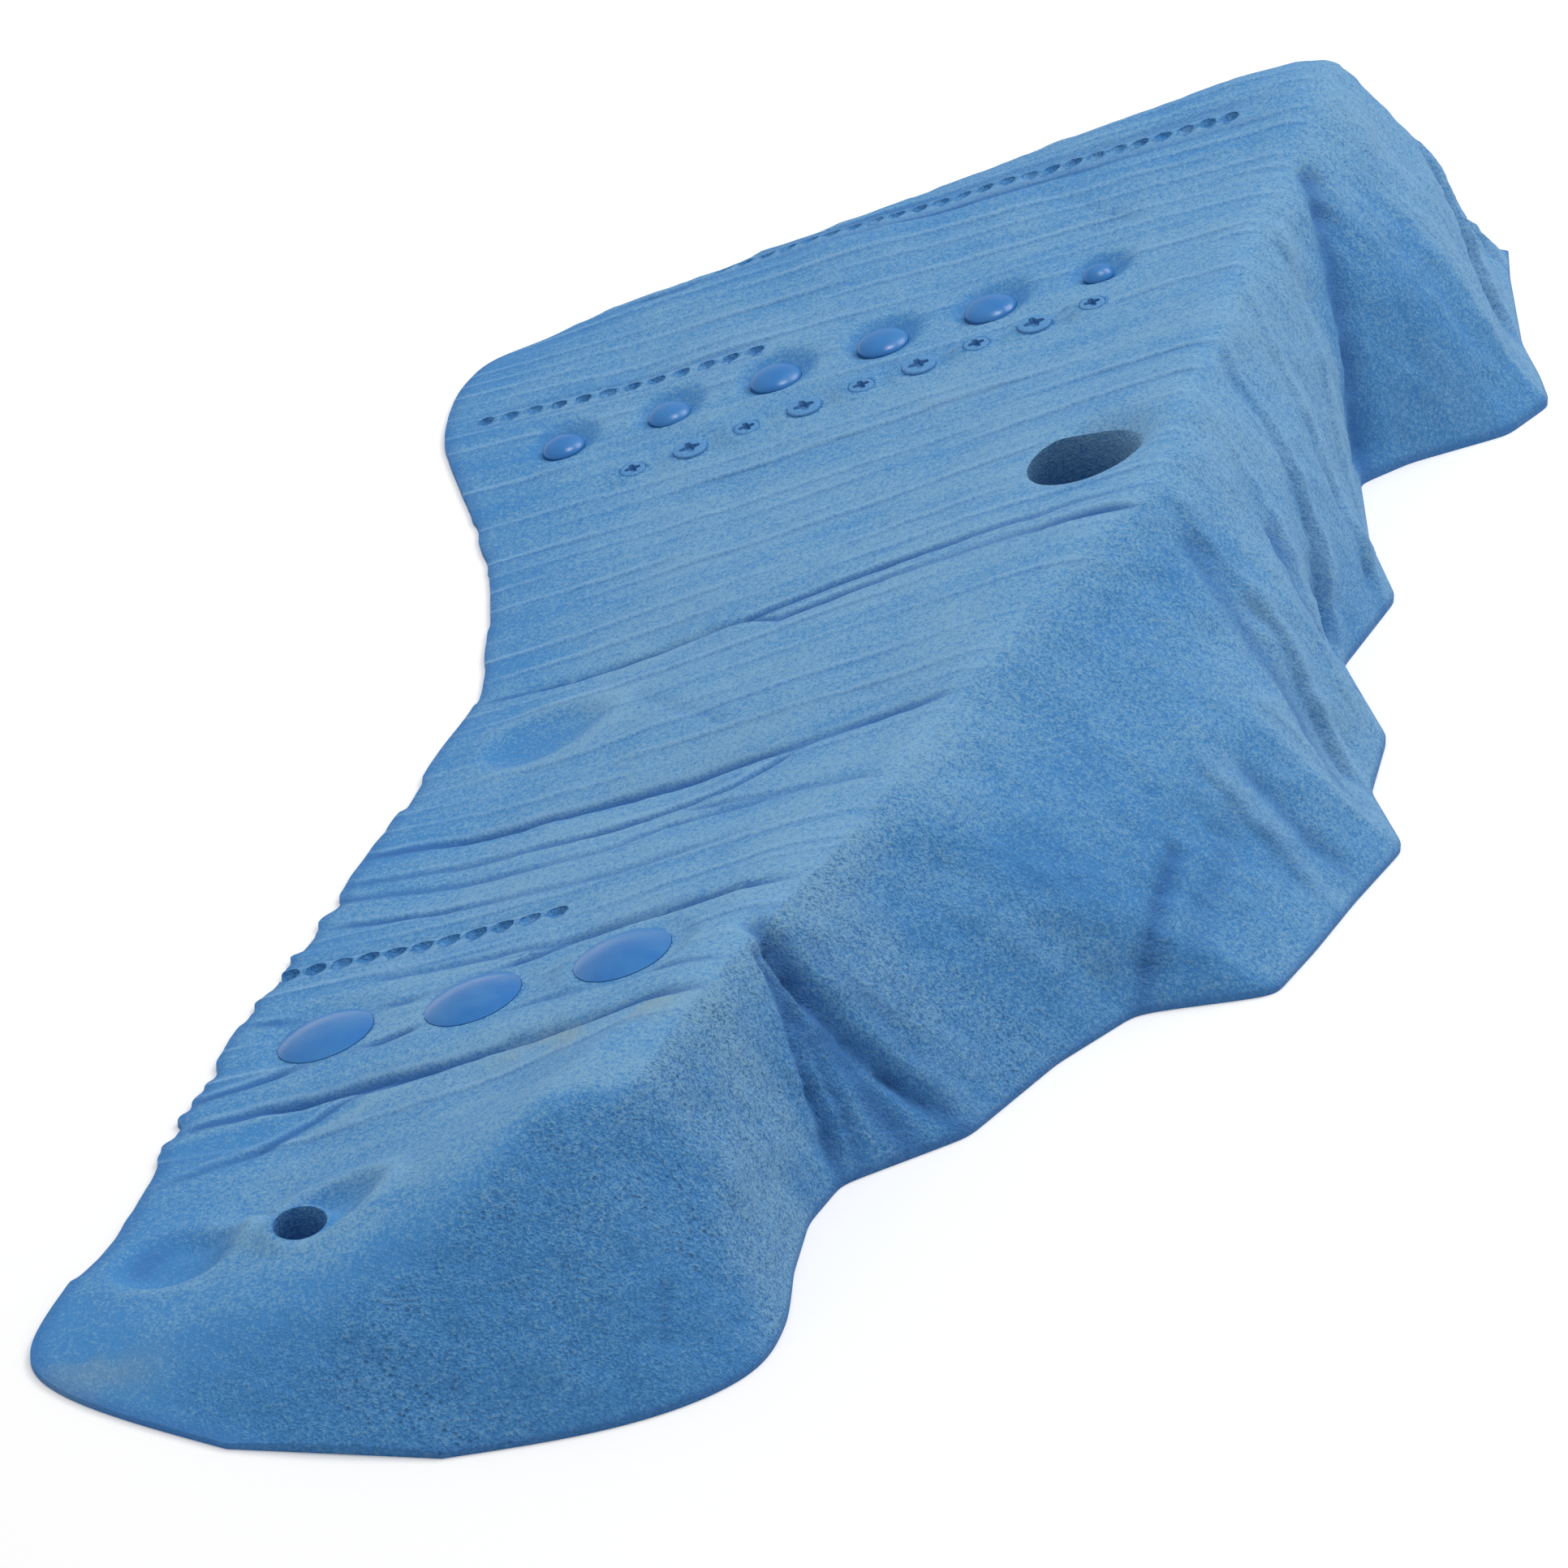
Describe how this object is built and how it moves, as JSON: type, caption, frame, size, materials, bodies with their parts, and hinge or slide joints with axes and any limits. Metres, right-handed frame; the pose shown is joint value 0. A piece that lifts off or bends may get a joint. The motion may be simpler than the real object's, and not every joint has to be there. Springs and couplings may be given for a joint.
{
  "type": "climbing hold",
  "caption": "Large wedge-shaped cast resin climbing hold with a layered gentle face, stepped rough walls, a deep bolt recess, round studs and cross-slot studs.",
  "frame": {"origin": "where the bolt hole's axis meets the flat back face", "axes": "+X along the bedding lines, up the gentle face; +Y the long way, from the low tip to the tall end; +Z out of the climbing wall, along the bolt"},
  "size_m": [0.323, 0.524, 0.082],
  "materials": {
    "rough_resin": "foam-grain cast resin, sanded on the gentle face",
    "smooth_resin": "smooth satin cast resin",
    "zinc_steel": "zinc-plated steel"
  },
  "bodies": {
    "root": {"hold_body": "rough_resin", "bolt_washer": "zinc_steel", "button_stud_1": "smooth_resin", "button_stud_2": "smooth_resin", "button_stud_3": "smooth_resin", "button_stud_4": "smooth_resin", "button_stud_5": "smooth_resin", "button_stud_6": "smooth_resin", "lens_stud_1": "smooth_resin", "lens_stud_2": "smooth_resin", "lens_stud_3": "smooth_resin", "cross_screw_1": "smooth_resin", "cross_screw_2": "smooth_resin", "cross_screw_3": "smooth_resin", "cross_screw_4": "smooth_resin", "cross_screw_5": "smooth_resin", "cross_screw_6": "smooth_resin", "cross_screw_7": "smooth_resin", "cross_screw_8": "smooth_resin", "cross_screw_9": "smooth_resin"}
  },
  "joints": []
}
